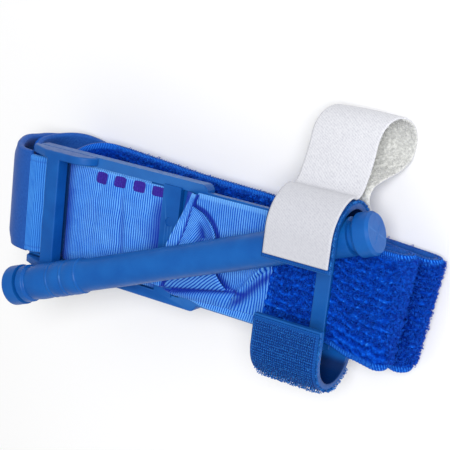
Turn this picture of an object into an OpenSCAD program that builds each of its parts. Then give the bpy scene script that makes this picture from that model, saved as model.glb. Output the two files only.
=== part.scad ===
// Windlass tourniquet, folded for carrying, lying on its back.
// +Z is up, +X runs along the band from the buckle to the rod clip, +Y runs across the band.
// The origin is on the underside of the pack, below the middle of the rod.
// "Plate frame" below means the tilted frame of the plate: its z = 0 is the plate's top face.

/* [Pack] */
// Height of the plate's top face above the ground, below the rod's middle
plate_h = 30.1; // [30:0.1:32]
// Slope of the plate in the folded pack, thick at the buckle end, in degrees
tilt = 7; // [6.9:0.1:7.2]

/* [Band] */
// Width of the band
band_w = 38.1; // [36:0.1:38.3]
// Thickness of the band, all three plies together
band_t = 2.9; // [2.6:0.1:2.9]
// Thickness of the inner ribbon
ribbon_t = 0.5; // [0.4:0.1:0.6]
// Where the sleeve begins, right of the rod's middle
sleeve_x = 30.5; // [30.2:0.1:32]
// Tip of the front right-hand fold
fold_1_x = 79; // [78:0.5:82]
// Tip of the rear right-hand fold, on the ground frame
fold_2_x = 82; // [81:0.5:86]
// Where the hidden left-hand fold begins
inner_fold_x = -60; // [-61:0.5:-56]
// Length of the running end that lies flat under the pack, right of the rod's middle
tail_x = 40; // [20:1:60]

/* [Plate] */
// Width of the wide part of the plate
plate_w = 46; // [45.5:0.5:48]
// Depth of the wide part of the plate
plate_t = 4.4; // [4:0.1:4.4]
// Right end of the wide part
plate_right = 1; // [0:0.5:2]
// Width of the narrow tongue below the ribbon
tongue_w = 41; // [40:0.5:42]
// Width of the raised buckle bar
bar_w = 6; // [5:0.5:6]

/* [Rod clip] */
// Length of the clip along the band
clip_l = 25.4; // [25:0.1:26]
// Left edge of the clip
clip_x = 35.8; // [35.5:0.1:36.5]
// Distance of each horn's centre from the middle of the band
horn_y = 19.8; // [19.6:0.1:20]
// Height of each horn's centre above the plate's top face
horn_z = 6.9; // [6.9:0.1:7.1]
// Inner radius of a horn
horn_r = 9.2; // [9.2:0.1:9.4]
// Wall thickness of a horn
horn_wall = 2.3; // [2:0.1:2.3]
// Thickness of the hook tape on a horn
patch_t = 1.2; // [1:0.1:1.2]

/* [Rod] */
// Length of the rod
rod_l = 146; // [142:1:146]
// Diameter of the rod's smooth barrel
rod_d = 11.8; // [11:0.1:11.8]
// Height of the rod's middle above the plate's top face
rod_z = 11.7; // [11.7:0.1:11.8]
// Angle of the rod to the band, seen from above, in degrees
rod_yaw = 20.5; // [20:0.1:20.8]
// Downward slope of the rod toward the clip, in degrees
rod_pitch = 3; // [2.9:0.1:3.1]
// Distance of the rod's middle from the middle of the band
rod_y = -2.4; // [-2.5:0.05:-2.3]

/* [Strap] */
// Thickness of the strap
strap_t = 1; // [0.8:0.1:1]
// Radius of the strap's loop, on the middle of its thickness
loop_r = 9.5; // [8.5:0.1:9.5]
// Length of the strap between the horn and the loop
neck_out = 12; // [10:0.5:12]

/* [Hidden] */
$fn = 96;

// Largest angle between neighbouring points of a bend in cloth
bend_step = 5;
// Small gap between parts that only lie on each other
gap = 0.05;
// Stitches: width, height over the cloth, and distance from the cloth's edge
thread_w = 0.8;
thread_h = 0.2;
hem = 1.6;

// Offsets of the plies from the middle of the band; the pile side is positive
half_t = band_t / 2;
core = ribbon_t / 2;

// Heights of the flat runs of the band, on the middle of its thickness.
// The two upper runs are in the plate frame, the others above the ground.
run_1_z = 0.7 - half_t;
clip_base_z = horn_z - horn_r - horn_wall;
run_2_z = clip_base_z - 0.3 - half_t;
tail_z = half_t;
run_4_z = tail_z + band_t + gap;
fold_2_r = 3.25;
run_3_z = run_4_z + 2 * fold_2_r;
fold_1_r = (run_1_z - run_2_z) / 2;
fold_1_cx = fold_1_x - fold_1_r - half_t;
fold_2_cx = fold_2_x - fold_2_r - half_t;

function dir(a) = [cos(a), sin(a)];
// A point of the plate frame, in the ground frame
function ground(x, z) = [x * cos(tilt) + z * sin(tilt), plate_h - x * sin(tilt) + z * cos(tilt)];
// Radius of a fold that turns from the plate's slope to level between two heights
function fold_radius(z_top, z_low) = (z_top - z_low) / (1 + cos(tilt));

// Hidden left fold: from run 2 down to run 3
inner_from = ground(inner_fold_x, run_2_z);
inner_r = fold_radius(inner_from[1], run_3_z);
inner_to_x = inner_from[0] - inner_r * sin(tilt);

// Buckle rail, a round bar at the plate's left end that the band turns round
rail_r = plate_t / 2;
rail_x = -75;
rail_z = -rail_r;
turn_r = rail_r + 0.2 + half_t;

// Outer left fold: from run 4 up to the rail's underside
under_rail = ground(rail_x, rail_z - turn_r);
outer_cx = -79.5;
outer_r = (under_rail[1] - run_4_z - (outer_cx - under_rail[0]) * tan(tilt))
    / (1 + cos(tilt) + sin(tilt) * tan(tilt));
outer_run = (under_rail[0] - outer_cx - outer_r * sin(tilt)) / cos(tilt);
lower_from_x = -66;

// Running end: over the rail, then round the outside down to the ground
over_x = -77.8;
over_rail = ground(over_x, rail_z + turn_r);
running_r = fold_radius(over_rail[1], tail_z);
running_to_x = over_rail[0] - running_r * sin(tilt);

// Plate levels
recess_z = -1.6;
bar_left = -66.9;
bar_z = [1, 6.5];
middle_rail_x = -69.2;
plate_left = -77.6;
window = [-64.5, -17];
cross_left = -17;
cross_w = 7.5;
ribbon_slot_w = 3;

// Clip levels
patch_r = horn_r + horn_wall + patch_t;
horn_tip = 9.4;
clip_right = clip_x + clip_l;
crossbar_x = 48.2;
crossbar_w = 5.6;
crossbar_z = [0.9, 2.7];

// Strap, in the section across the clip
strap_r = patch_r + gap + strap_t / 2;
neck_r = 4;
flap_end_a = 14;
flap_gap_a = 1.5;
loop_from_a = flap_end_a - flap_gap_a;
leave_a = -15;
neck_a = -6;
heel_a = -48;
anchor_turn = 25;
horn_c = [horn_y, horn_z];
neck_c = horn_c + (strap_r + neck_r) * dir(leave_a);
loop_c = neck_c + neck_out * dir(neck_a) + (neck_r + loop_r) * dir(neck_a - 90);
heel = horn_c + (strap_r + neck_r) * dir(heel_a) - loop_c;
back_run = sqrt(heel * heel - pow(loop_r + neck_r, 2));
back_a = atan2(heel[1], heel[0]) - atan2(loop_r + neck_r, back_run);

module plate_frame() {
    translate([0, 0, plate_h])
        rotate([0, tilt, 0])
            children();
}

// Stands a drawing of x against z upright, as wide as w, centred on the band
module across(w) {
    rotate([90, 0, 0])
        linear_extrude(w, center = true)
            children();
}

// Stands a drawing of y against z upright, from x0 along the band for l
module along(x0, l) {
    translate([x0, 0, 0])
        rotate([90, 0, 90])
            linear_extrude(l)
                children();
}

// Sector of a ring, from the angle a0 through the angle sweep
module ring_sector(r_in, r_out, a0, sweep) {
    steps = ceil(abs(sweep) / 45);
    intersection() {
        difference() {
            circle(r_out);
            circle(r_in);
        }
        polygon(concat([[0, 0]], [for (i = [0:steps]) 2 * r_out * dir(a0 + sweep * i / steps)]));
    }
}

// Points at a fixed distance to the left of a path of [length, 0] runs and [radius, turn] bends.
// A left turn is positive.
function beside(path, off, at = [0, 0], heading = 0, i = 0) =
    let (left = dir(heading + 90))
    i == len(path) ? [at + off * left] :
    let (size = path[i][0], turn = path[i][1], side = sign(turn))
    turn == 0 ?
        concat([at + off * left], beside(path, off, at + size * dir(heading), heading, i + 1)) :
    let (centre = at + side * size * left, n = ceil(abs(turn) / bend_step))
        concat(
            [for (k = [0:n - 1]) centre + (off - side * size) * dir(heading + 90 + turn * k / n)],
            beside(path, off, centre - side * size * dir(heading + turn + 90), heading + turn, i + 1)
        );

// Strip along such a path, from lo to hi to the left of it
module strip(path, lo, hi) {
    far = beside(path, hi);
    polygon(concat(beside(path, lo), [for (i = [len(far) - 1:-1:0]) far[i]]));
}

// Rectangle from x0 to x1, w wide and centred on the band, with corners of radius r
module round_slab(x0, x1, w, r, z0, z1) {
    translate([x0 + r, -w / 2, z0])
        cube([x1 - x0 - 2 * r, w, z1 - z0]);
    translate([x0, -w / 2 + r, z0])
        cube([x1 - x0, w - 2 * r, z1 - z0]);
    for (x = [x0 + r, x1 - r], y = [-1, 1])
        translate([x, y * (w / 2 - r), z0])
            cylinder(r = r, h = z1 - z0);
}

module slab(x0, x1, w, z0, z1) {
    translate([x0, -w / 2, z0])
        cube([x1 - x0, w, z1 - z0]);
}

// One ply of the band between the sleeve's mouth and the hidden left fold
module upper_ply(w, lo, hi) {
    plate_frame()
        across(w)
            translate([sleeve_x, run_1_z])
                strip([
                    [fold_1_cx - sleeve_x, 0],
                    [fold_1_r, -180],
                    [fold_1_cx - inner_fold_x, 0]
                ], lo, hi);
}

// One ply of the band from the hidden left fold round the rear fold and back to the left
module lower_ply(w, lo, hi) {
    across(w)
        translate([inner_to_x, run_3_z])
            strip([
                [fold_2_cx - inner_to_x, 0],
                [fold_2_r, -180],
                [fold_2_cx - lower_from_x, 0]
            ], lo, hi);
}

// Two rows of thread along the edges, each side of the band's middle
module both_hems() {
    for (side = [-1, 1])
        translate([0, side * (band_w / 2 - hem), 0])
            children();
}

// ---- Plate, buckle and clip ----

module stabilization_plate() {
    color("royalblue")
    plate_frame() {
        difference() {
            union() {
                round_slab(plate_left, plate_right, plate_w, 2.5, -plate_t, 0);
                slab(plate_right - 4, sleeve_x - 0.5, tongue_w, clip_base_z + horn_wall, 0);
            }
            // slot for the band, from the left edge to the middle rail
            slab(rail_x - rail_r - 3, middle_rail_x, band_w + 0.8, -plate_t - 1, 1);
            // recess that the ribbon lies in
            slab(window[0], cross_left + cross_w + ribbon_slot_w, band_w + 0.8, recess_z, 1);
            // way for the ribbon round the middle rail
            slab(window[0], window[0] + 4, band_w + 0.8, -plate_t - 1, 1);
        }
        // crossbar over the ribbon, with two ejector marks
        difference() {
            slab(cross_left, cross_left + cross_w, band_w + 2, -0.9, 0.9);
            for (y = [-6, 7])
                translate([cross_left + cross_w / 2, y, 0.5])
                    cylinder(d = 3.4, h = 1);
        }
        // rail that the band turns round
        translate([rail_x, 0, rail_z])
            rotate([90, 0, 0])
                cylinder(r = rail_r, h = band_w + 2, center = true);
    }
}

module buckle_arm_profile() {
    right = -47.5;
    bend = 7;
    polygon(concat(
        [[plate_left, 0], [plate_left + 1, 2.6], [bar_left - 1, bar_z[1]]],
        [for (a = [90:-10:0])
            [right - bend + bend * cos(a), bar_z[1] * sin(a)]]
    ));
}

module buckle_frame() {
    arm_t = 3;
    color("royalblue")
    plate_frame() {
        for (side = [-1, 1])
            translate([0, side * (plate_w - arm_t) / 2, 0])
                across(arm_t)
                    buckle_arm_profile();
        slab(bar_left, bar_left + bar_w, plate_w - 2 * arm_t + 1, bar_z[0], bar_z[1]);
    }
}

module horn_outline() {
    translate([horn_y, horn_z])
        ring_sector(horn_r, horn_r + horn_wall, -90, 180);
    translate([horn_tip, horn_z + horn_r])
        square([horn_y - horn_tip, horn_wall]);
    translate([0, clip_base_z])
        square([horn_y, horn_wall]);
}

module windlass_clip() {
    post = 2.4;
    color("royalblue")
    plate_frame() {
        along(clip_x, clip_l) {
            horn_outline();
            mirror([1, 0]) horn_outline();
        }
        // foot below the tongue
        slab(sleeve_x - 5, clip_x + 1, 30, clip_base_z, clip_base_z + horn_wall);
        // bridge over the band
        slab(crossbar_x, crossbar_x + crossbar_w, band_w + 2 * post, crossbar_z[0], crossbar_z[1]);
        for (side = [-1, 1])
            translate([crossbar_x, side * (band_w + post + 0.3) / 2 - post / 2, clip_base_z + 1])
                cube([crossbar_w, post, crossbar_z[1] - clip_base_z - 1]);
    }
}

module hook_patch() {
    color("mediumblue")
    plate_frame()
        along(clip_x + 0.4, clip_l - 0.8) {
            translate([horn_y, horn_z])
                ring_sector(patch_r - patch_t, patch_r, -60, 150);
            translate([horn_tip + 0.6, horn_z + patch_r - patch_t])
                square([horn_y - horn_tip - 0.6, patch_t]);
        }
}

module upper_hook_patch() {
    hook_patch();
}

module lower_hook_patch() {
    mirror([0, 1, 0]) hook_patch();
}

// ---- Strap ----

// From the horn's far side out to the loop, round it and back under the horn
module strap_loop() {
    color("white")
    plate_frame()
        along(clip_x, clip_l)
            translate(horn_c + strap_r * dir(loop_from_a))
                rotate(loop_from_a - 90)
                    strip([
                        [strap_r, leave_a - loop_from_a],
                        [neck_r, neck_a - leave_a + 90],
                        [neck_out, 0],
                        [loop_r, back_a - neck_a - 360],
                        [back_run, 0],
                        [neck_r, heel_a + 270 - back_a],
                        [strap_r, -anchor_turn]
                    ], -strap_t / 2, strap_t / 2);
}

module strap_flap() {
    color("white")
    plate_frame()
        along(clip_x, clip_l)
            translate([horn_tip + 0.2, horn_z + strap_r])
                strip([
                    [horn_y - horn_tip - 0.2, 0],
                    [strap_r, flap_end_a - 90]
                ], -strap_t / 2, strap_t / 2);
}

module strap_stitching() {
    color("lavender")
    plate_frame()
        for (x = [clip_x + 3, clip_x + clip_l - 4])
            along(x, 1)
                translate([horn_y, horn_z])
                    ring_sector(strap_r + 0.5, strap_r + 0.7, -70, 18);
}

// ---- Rod ----

// Half section of the rod: distance along it against radius
function rib(x, w, r0, r1) = [[x - w, r0], [x - w / 2, r1], [x + w / 2, r1], [x + w, r0]];
rod_r = rod_d / 2;
knob_r = 7.1;
knob_l = 6.5;
flange_r = 7.4;
rib_r = rod_r + 0.8;

module rod_profile() {
    end = rod_l / 2;
    polygon(concat(
        [[-end, 0], [-end, flange_r - 1.2], [-end + 0.6, flange_r], [-end + 2.2, flange_r],
         [-end + 2.8, rod_r - 0.4]],
        rib(-end + 5, 1, rod_r - 0.4, rib_r),
        [for (x = [-62, -55.5, -49]) each rib(x, 1.6, rod_r, rib_r)],
        [[58, rod_r], [58.5, 6.3], [end - knob_l - 2, 6.3], [end - knob_l - 2, 4.8],
         [end - knob_l, 4.8], [end - knob_l, knob_r - 0.4], [end - knob_l + 0.6, knob_r],
         [end - 1, knob_r], [end, knob_r - 1], [end, 0]]
    ));
}

rod_slot = [24, 2.4];

module rod_frame() {
    plate_frame()
        translate([0, rod_y, rod_z])
            rotate([0, rod_pitch, rod_yaw])
                children();
}

module windlass_rod() {
    color("steelblue")
    rod_frame()
        difference() {
            rotate([90, 0, 90])
                rotate_extrude()
                    rotate(90)
                        mirror([0, 1])
                            rod_profile();
            cube([rod_slot[0], 2 * rod_d, rod_slot[1]], center = true);
        }
}

module slot_ribbon() {
    color("dodgerblue")
    rod_frame()
        cube([rod_slot[0] - 1, rod_d + 0.6, 1.2], center = true);
}

// ---- Inner ribbon on the plate ----

module window_ribbon() {
    color("dodgerblue")
    plate_frame()
        slab(window[0] + 4.5, cross_left + cross_w + ribbon_slot_w - 0.6, band_w,
            recess_z + gap, recess_z + gap + ribbon_t);
}

module ribbon_anchor() {
    color("dodgerblue")
    plate_frame()
        slab(window[0] + 4.5, -24, band_w - 0.6, recess_z + 2 * gap + ribbon_t,
            recess_z + 2 * gap + 2 * ribbon_t);
}

module print_marks() {
    mark = 4;
    top = recess_z + 2 * gap + ribbon_t;
    color("indigo")
    plate_frame()
        for (i = [0:3])
            translate([-47.3 + 8.1 * i, 13.5, i < 3 ? recess_z + 3 * gap + 2 * ribbon_t : top])
                cube([mark, mark, 0.1]);
}

module left_riser() {
    color("dodgerblue")
    plate_frame()
        translate([-8.6, -1, -0.9])
            cube([0.8, 19, 3.9]);
}

module right_riser() {
    color("dodgerblue")
    plate_frame()
        translate([2, -18, gap])
            cube([7, 30, 2.6]);
}

module ribbon_run() {
    color("dodgerblue")
    plate_frame()
        slab(10, sleeve_x - 0.4, band_w, gap, gap + ribbon_t);
}

module sleeve_bartack() {
    color("navy")
    plate_frame()
        slab(sleeve_x + 1.2, sleeve_x + 2.4, band_w - 4, run_1_z + half_t, run_1_z + half_t + thread_h);
}

// ---- Band, upper half: attached to the plate ----

module upper_pile_tape() {
    color("blue") upper_ply(band_w, core + gap, half_t);
}

module upper_inner_ribbon() {
    color("dodgerblue") upper_ply(band_w - 2 * hem - 2, -core, core);
}

module upper_liner() {
    color("royalblue") upper_ply(band_w, -half_t, -core - gap);
}

// Thread lies on the outside of run 1 and the front fold
module upper_stitching() {
    color("cornflowerblue")
    plate_frame()
        both_hems()
            across(thread_w)
                translate([clip_right + 1, run_1_z])
                    strip([
                        [fold_1_cx - clip_right - 1, 0],
                        [fold_1_r, -180]
                    ], half_t, half_t + thread_h);
}

// ---- Left-hand folds, which bend when the pack is opened ----

module inner_fold() {
    color("blue")
    across(band_w)
        translate(inner_from)
            rotate(180 - tilt)
                strip([[inner_r, 180 + tilt]], -half_t, half_t);
}

module outer_fold() {
    color("blue")
    across(band_w)
        translate([lower_from_x, run_4_z])
            rotate(180)
                strip([
                    [lower_from_x - outer_cx, 0],
                    [outer_r, -180 - tilt],
                    [outer_run, 0]
                ], -half_t, half_t);
}

module buckle_turn() {
    color("dodgerblue")
    plate_frame()
        across(band_w)
            translate([rail_x, rail_z - turn_r])
                strip([[turn_r, 180], [rail_x - over_x, 0]], -half_t, half_t);
}

module running_fold() {
    color("royalblue")
    across(band_w)
        translate(over_rail)
            rotate(180 - tilt)
                strip([
                    [running_r, 180 + tilt],
                    [lower_from_x - running_to_x, 0]
                ], -half_t, half_t);
}

// ---- Band, lower half: swings out when the pack is opened ----

module lower_pile_tape() {
    color("blue") lower_ply(band_w, core + gap, half_t);
}

module lower_inner_ribbon() {
    color("dodgerblue") lower_ply(band_w - 2 * hem - 2, -core, core);
}

module lower_liner() {
    color("royalblue") lower_ply(band_w, -half_t, -core - gap);
}

// Thread lies on the outside of the rear fold
module lower_stitching() {
    color("cornflowerblue")
    both_hems()
        across(thread_w)
            translate([fold_2_cx - 3, run_3_z])
                strip([[3, 0], [fold_2_r, -180], [20, 0]], half_t, half_t + thread_h);
}

module running_end() {
    color("royalblue")
    slab(lower_from_x, tail_x, band_w, 0, band_t);
}

module tip_tab() {
    tab_l = 18;
    color("firebrick")
    round_slab(tail_x + gap, tail_x + tab_l, band_w - 4, 4, 0.8, 2);
}

stabilization_plate();
buckle_frame();
windlass_clip();
upper_hook_patch();
lower_hook_patch();
strap_loop();
strap_stitching();
strap_flap();
windlass_rod();
slot_ribbon();
window_ribbon();
ribbon_anchor();
print_marks();
left_riser();
right_riser();
ribbon_run();
sleeve_bartack();
upper_pile_tape();
upper_inner_ribbon();
upper_liner();
upper_stitching();
inner_fold();
outer_fold();
buckle_turn();
running_fold();
lower_pile_tape();
lower_inner_ribbon();
lower_liner();
lower_stitching();
running_end();
tip_tab();
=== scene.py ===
import math

import bmesh
import bpy
import numpy as np
from mathutils import Matrix, Vector


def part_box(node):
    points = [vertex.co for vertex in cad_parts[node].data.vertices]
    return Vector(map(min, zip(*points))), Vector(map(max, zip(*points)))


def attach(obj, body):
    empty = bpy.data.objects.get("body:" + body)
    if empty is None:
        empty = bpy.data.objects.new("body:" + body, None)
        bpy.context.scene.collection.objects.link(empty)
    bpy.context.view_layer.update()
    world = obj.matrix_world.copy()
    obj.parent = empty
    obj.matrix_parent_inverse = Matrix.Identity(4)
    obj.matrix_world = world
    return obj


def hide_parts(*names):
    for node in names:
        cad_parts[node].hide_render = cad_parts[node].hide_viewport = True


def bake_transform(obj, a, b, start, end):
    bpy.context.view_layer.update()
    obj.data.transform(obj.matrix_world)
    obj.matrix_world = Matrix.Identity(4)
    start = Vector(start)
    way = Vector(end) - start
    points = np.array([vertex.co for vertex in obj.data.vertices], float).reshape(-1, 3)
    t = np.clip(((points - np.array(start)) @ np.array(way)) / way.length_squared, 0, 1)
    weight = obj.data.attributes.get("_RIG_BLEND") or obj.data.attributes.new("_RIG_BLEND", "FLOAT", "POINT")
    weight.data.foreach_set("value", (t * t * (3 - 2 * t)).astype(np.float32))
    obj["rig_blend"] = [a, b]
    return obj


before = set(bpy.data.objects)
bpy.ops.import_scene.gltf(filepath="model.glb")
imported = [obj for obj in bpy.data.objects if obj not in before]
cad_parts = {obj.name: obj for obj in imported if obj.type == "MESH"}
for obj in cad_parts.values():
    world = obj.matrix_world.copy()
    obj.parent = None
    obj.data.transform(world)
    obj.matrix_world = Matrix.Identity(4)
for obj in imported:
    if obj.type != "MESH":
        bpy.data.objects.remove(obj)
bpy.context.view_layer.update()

# Lengths are in mm until a mesh is made. The plate frame is the tilted frame of the plate, whose
# z = 0 is the plate's top face; the ground frame is the CAD's own.

MM = 0.001
TILT = math.radians(7)
PLATE_H = 30.1

# Band. Runs are numbered from the top of the pack down, by the height of their middle; runs 1 and 2 are in
# the plate frame, 3 and 4 in the ground frame. Folds 1 and 2 are the two at the right.
BAND_W = 38.1
BAND_HALF = 1.45
SLEEVE_X = 30.5
RUN_1_Z = 0.7 - BAND_HALF
RUN_2_Z = -4.6 - 0.3 - BAND_HALF
RUN_4_Z = BAND_HALF + 2.9 + 0.05
FOLD_2_R = 3.25
RUN_3_Z = RUN_4_Z + 2 * FOLD_2_R
FOLD_1_R = (RUN_1_Z - RUN_2_Z) / 2
FOLD_1_CX = 79 - FOLD_1_R - BAND_HALF
FOLD_2_CX = 82 - FOLD_2_R - BAND_HALF
INNER_FOLD_X = -60
LOWER_FROM_X = -66
TAIL_X = 40

# Plate and clip
RAIL_X = -75
RAIL_R = 2.2
TURN_R = RAIL_R + 0.2 + BAND_HALF
OVER_X = -77.8
OUTER_CX = -79.5
CLIP_X = 35.8
CLIP_L = 25.4
HORN = (19.8, 6.9)
HORN_OUT_R = 11.5
HORN_IN_R = 9.6
HORN_TIP = 9.4
PATCH_T = 1.2

# Rod, along its own x. The picture's rod is ROD_MORE longer than the CAD's at each end.
ROD_L = 146
ROD_R = 5.9
ROD_MORE = 2
ROD_AT = (0, -2.4, 11.7)
ROD_YAW = 20.5
ROD_PITCH = 3
GRIP = (-54.6, -48.2, -41.4)
KNOB_L = 3.9
KNOB_GROOVE = 2.2
GRIP_END = -65.2
FLANGE = -69.6
COLLAR = 57.6
ROD_SLOT = (24, 2.4)

# Strap, drawn in the plane across the band; angles are round the horn or along the strap, in degrees
STRAP_HALF = 0.5
STRAP_R = HORN_OUT_R + PATCH_T + 0.05 + STRAP_HALF
LOOP_R = 9.5
NECK_R = 4
NECK_OUT = 12
LEAVE_A = -15
NECK_A = -6
HEEL_A = -48
ANCHOR_TURN = 25
STRAP_END = 11.6

# Spacing of the ribbon's ribs, and of those on the turn round the rail
RIB = 0.9
TURN_RIB = 0.62


# ---- Frames and paths ----

def plate(points):
    """From the plate frame to the ground frame."""
    p = np.asarray(points, float)
    c, s = math.cos(TILT), math.sin(TILT)
    x, y, z = p[..., 0], p[..., 1], p[..., 2]
    return np.stack([x * c + z * s, y, PLATE_H - x * s + z * c], -1)


def unplate(p):
    c, s = math.cos(TILT), math.sin(TILT)
    x, y, z = p[..., 0], p[..., 1], p[..., 2] - PLATE_H
    return np.stack([x * c - z * s, y, x * s + z * c], -1)


def ground(x, z):
    """The x and z in the ground frame of a point in the middle of the plate frame."""
    p = plate((x, 0, z))
    return p[0], p[2]


def unit(a):
    return np.array([math.cos(math.radians(a)), math.sin(math.radians(a))])


def smooth(a, b, x):
    """0 before a, 1 past b, and an even step between. a may be the larger one."""
    t = np.clip((np.asarray(x, float) - a) / (b - a), 0, 1)
    return t * t * (3 - 2 * t)


def bell(x, centre, width):
    return np.exp(-((x - centre) / width) ** 2)


def noise(x, y, seed):
    """Smooth noise from -1 to 1 with one cell a unit."""
    x, y = np.broadcast_arrays(np.asarray(x, float), np.asarray(y, float))
    xi, yi = np.floor(x).astype(np.int64), np.floor(y).astype(np.int64)
    fx, fy = x - xi, y - yi
    fx, fy = fx * fx * (3 - 2 * fx), fy * fy * (3 - 2 * fy)

    def corner(i, j):
        h = (i * 374761393 + j * 668265263 + seed * 974634777) & 0xFFFFFFFF
        h = ((h ^ (h >> 13)) * 1274126177) & 0xFFFFFFFF
        return ((h ^ (h >> 16)) & 0xFFFF) / 32767.5 - 1

    low = corner(xi, yi) * (1 - fx) + corner(xi + 1, yi) * fx
    high = corner(xi, yi + 1) * (1 - fx) + corner(xi + 1, yi + 1) * fx
    return low * (1 - fy) + high * fy


def trace(path, at, heading, step):
    """Follows [length, 0] runs and [radius, turn] bends. Returns points, the directions to their left and
    the lengths along the path."""
    points, turns, lengths = [], [], []
    at, along = np.array(at, float), 0.0
    for size, turn in path:
        left, side = unit(heading + 90), math.copysign(1, turn)
        length = size if turn == 0 else abs(math.radians(turn)) * size

        def reached(t):
            if turn == 0:
                return at + size * t * unit(heading)
            return at + side * size * (left - unit(heading + 90 + turn * t))

        n = max(2, int(math.ceil(length / step)))
        for k in range(n):
            points.append(reached(k / n))
            turns.append(heading + turn * k / n)
            lengths.append(along + length * k / n)
        at = reached(1)
        heading += turn
        along += length
    points.append(at)
    turns.append(heading)
    lengths.append(along)
    return np.array(points), np.stack([unit(a + 90) for a in turns]), np.array(lengths)


def net(first, second):
    """A grid's two coordinates, from the values along each of its sides."""
    return np.meshgrid(first, second, indexing="ij")


# ---- Mesh making ----

def link(name, data):
    piece = bpy.data.objects.new(name, data)
    bpy.context.scene.collection.objects.link(piece)
    return piece


def make_object(name, verts, faces, materials):
    """A smooth piece from points in mm and the names of its materials."""
    mesh = bpy.data.meshes.new(name)
    mesh.from_pydata((np.asarray(verts) * MM).tolist(), [], faces)
    for material in materials:
        mesh.materials.append(MATERIALS[material])
    mesh.shade_smooth()
    return link(name, mesh)


def read(items, field, size):
    """A field of every vertex or face, as rows of size numbers."""
    values = np.zeros(len(items) * size)
    items.foreach_get(field, values)
    return values.reshape(-1, size)


def set_points(mesh, name, values):
    """Stores a number, or a row of three, at every point of the mesh for its material to read."""
    values = np.asarray(values, np.float32)
    kind, field = ("FLOAT", "value") if values.ndim == 1 else ("FLOAT_VECTOR", "vector")
    mesh.attributes.new(name, kind, "POINT").data.foreach_set(field, values.ravel())


def dress(piece, body, slot, *nodes):
    """The body that a piece rides on, its colour slot, which is not used, and the CAD nodes that it stands
    for.
    """
    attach(piece, body)
    if nodes:
        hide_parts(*nodes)
    return piece


def cloth(name, mid, half, weave, materials, over=0.0, under=0.0, soft_edge=0.6, lift=None):
    """A closed sheet round a grid of points. over and under raise its two faces along their normals, and the
    last argument gives the pile's height (above 0), which its material paints lighter, and where the material
    puts painted shade (below 0): in creases, under folds and along the strap's front."""
    nu, nv = mid.shape[:2]
    n = np.cross(np.gradient(mid, axis=0), np.gradient(mid, axis=1))
    n /= np.maximum(np.linalg.norm(n, axis=-1, keepdims=True), 1e-9)
    rim = np.minimum(np.arange(nv), np.arange(nv)[::-1])[None, :]
    width = np.linalg.norm(mid[:, 1:] - mid[:, :-1], axis=-1).mean()
    ease = np.sqrt(np.clip(1 - (1 - np.clip(rim * width / soft_edge, 0, 1)) ** 2, 0, 1)) if soft_edge else 1
    half = half * (0.25 + 0.75 * ease) * np.ones((nu, nv))
    top = mid + n * (half + over * ease)[..., None]
    bottom = mid - n * (half + under * ease)[..., None]
    verts = np.concatenate([top.reshape(-1, 3), bottom.reshape(-1, 3)])
    i = np.arange(nu * nv).reshape(nu, nv)
    j = i + nu * nv
    quads = [
        np.stack([i[:-1, :-1], i[1:, :-1], i[1:, 1:], i[:-1, 1:]], -1).reshape(-1, 4),
        np.stack([j[:-1, :-1], j[:-1, 1:], j[1:, 1:], j[1:, :-1]], -1).reshape(-1, 4),
        np.stack([i[:-1, 0], j[:-1, 0], j[1:, 0], i[1:, 0]], -1),
        np.stack([i[:-1, -1], i[1:, -1], j[1:, -1], j[:-1, -1]], -1),
        np.stack([i[0, :-1], i[0, 1:], j[0, 1:], j[0, :-1]], -1),
        np.stack([i[-1, :-1], j[-1, :-1], j[-1, 1:], i[-1, 1:]], -1),
    ]
    # the materials are for the top, the bottom and the rim; the last one also takes what is left
    faces = [np.full(len(q), min(s, len(materials) - 1)) for q, s in zip(quads, (0, 1, 2, 2, 2, 2))]
    piece = make_object(name, verts, np.concatenate(quads).tolist(), materials)
    piece.data.polygons.foreach_set("material_index", np.concatenate(faces).astype(np.int32))
    set_points(piece.data, "weave", np.tile(weave.reshape(-1, 3), (2, 1)))
    if lift is not None:
        set_points(piece.data, "lift", np.tile((lift * np.ones((nu, nv))).ravel(), 2))
    return piece


def weave_of(u, v, width):
    """Cloth coordinates: along the cloth, across it, and how far inside its edge."""
    u, v = np.broadcast_arrays(u, v)
    return np.stack([u, v, width / 2 - np.abs(v)], -1)


def rib_height(u, period=RIB):
    """Height of the cross ribs, from 0 to 1."""
    return np.abs(np.sin(math.pi * u / period)) ** 0.7


def tubes(name, paths, radius, material, sides=4):
    """Many small threads, each through its own row of points."""
    paths = np.asarray(paths, float)
    count, length = paths.shape[:2]
    t = np.gradient(paths, axis=1)
    t /= np.maximum(np.linalg.norm(t, axis=-1, keepdims=True), 1e-9)
    helper = np.where(np.abs(t[..., 2:3]) > 0.9, [[[1.0, 0, 0]]], [[[0, 0, 1.0]]])
    a = np.cross(t, helper)
    a /= np.linalg.norm(a, axis=-1, keepdims=True)
    b = np.cross(t, a)
    angle = np.arange(sides) * 2 * math.pi / sides
    taper = np.ones(length)
    taper[[0, -1]] = 0.55
    ring = a[:, :, None] * np.cos(angle)[:, None] + b[:, :, None] * np.sin(angle)[:, None]
    verts = paths[:, :, None] + ring * (radius * taper)[None, :, None, None]
    i = np.arange(count * length * sides).reshape(count, length, sides)
    k = np.roll(i, -1, axis=2)
    walls = np.stack([i[:, :-1], k[:, :-1], k[:, 1:], i[:, 1:]], -1).reshape(-1, 4)
    faces = walls.tolist() + i[:, 0, ::-1].tolist() + i[:, -1].tolist()
    return make_object(name, verts.reshape(-1, 3), faces, [material])


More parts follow.
